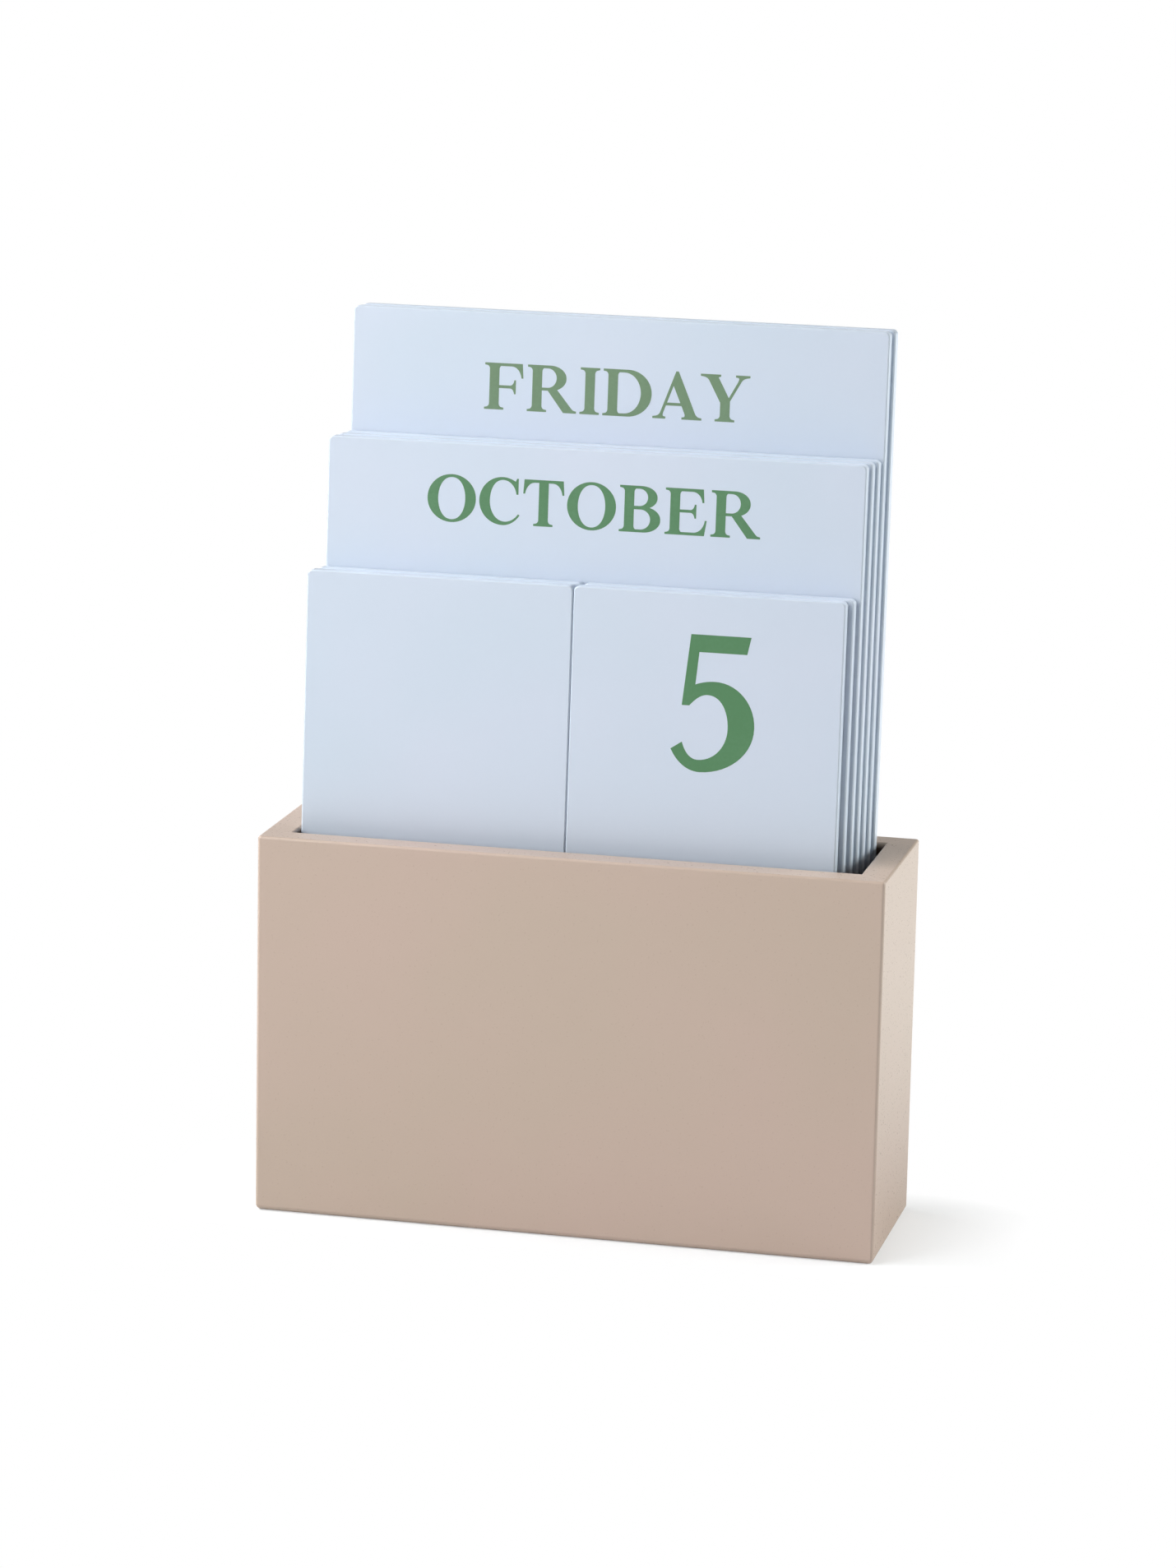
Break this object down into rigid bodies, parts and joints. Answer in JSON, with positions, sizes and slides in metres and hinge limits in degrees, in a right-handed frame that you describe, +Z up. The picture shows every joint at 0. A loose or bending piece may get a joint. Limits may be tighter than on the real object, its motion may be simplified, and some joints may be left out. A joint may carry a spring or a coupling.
{
  "type": "perpetual desk calendar",
  "caption": "Perpetual desk calendar: an open-topped box in which boards for number, month and weekday stand leaning back, each lifting out to be turned or swapped.",
  "frame": {"origin": "middle of the box's underside", "axes": "+X to the right as seen from the front, +Y towards the back, +Z up"},
  "size_m": [0.12, 0.037, 0.1707],
  "materials": {
    "box_lacquer": "matt sprayed lacquer on fibreboard",
    "board_lacquer": "matt sprayed lacquer on thin fibreboard",
    "print_ink": "matt screen-printed ink"
  },
  "bodies": {
    "box": {"box_front": "box_lacquer", "box_right_side": "box_lacquer", "box_back": "box_lacquer", "box_left_side": "box_lacquer", "box_floor": "box_lacquer"},
    "number_left_front": {"number_board_left_front": "board_lacquer"},
    "number_right_front": {"number_board_right_front": "board_lacquer"},
    "number_left_rear": {"number_board_left_rear": "board_lacquer"},
    "number_right_rear": {"number_board_right_rear": "board_lacquer"},
    "month_front": {"month_board_front": "board_lacquer"},
    "month_middle": {"month_board_middle": "board_lacquer"},
    "month_rear": {"month_board_rear": "board_lacquer"},
    "weekday_front": {"weekday_board_front": "board_lacquer"},
    "weekday_rear": {"weekday_board_rear": "board_lacquer"}
  },
  "joints": [
    {"name": "number_left_front_lift", "type": "slide", "parent": "box", "child": "number_left_front", "axis": [0, 0.0555, 0.9985], "range_m": [0, 0.07]},
    {"name": "number_right_front_lift", "type": "slide", "parent": "box", "child": "number_right_front", "axis": [0, 0.0555, 0.9985], "range_m": [0, 0.07]},
    {"name": "number_left_rear_lift", "type": "slide", "parent": "box", "child": "number_left_rear", "axis": [0, 0.0555, 0.9985], "range_m": [0, 0.07]},
    {"name": "number_right_rear_lift", "type": "slide", "parent": "box", "child": "number_right_rear", "axis": [0, 0.0555, 0.9985], "range_m": [0, 0.07]},
    {"name": "month_front_lift", "type": "slide", "parent": "box", "child": "month_front", "axis": [0, 0.0555, 0.9985], "range_m": [0, 0.07]},
    {"name": "month_middle_lift", "type": "slide", "parent": "box", "child": "month_middle", "axis": [0, 0.0555, 0.9985], "range_m": [0, 0.07]},
    {"name": "month_rear_lift", "type": "slide", "parent": "box", "child": "month_rear", "axis": [0, 0.0555, 0.9985], "range_m": [0, 0.07]},
    {"name": "weekday_front_lift", "type": "slide", "parent": "box", "child": "weekday_front", "axis": [0, 0.0555, 0.9985], "range_m": [0, 0.07]},
    {"name": "weekday_rear_lift", "type": "slide", "parent": "box", "child": "weekday_rear", "axis": [0, 0.0555, 0.9985], "range_m": [0, 0.07]}
  ]
}
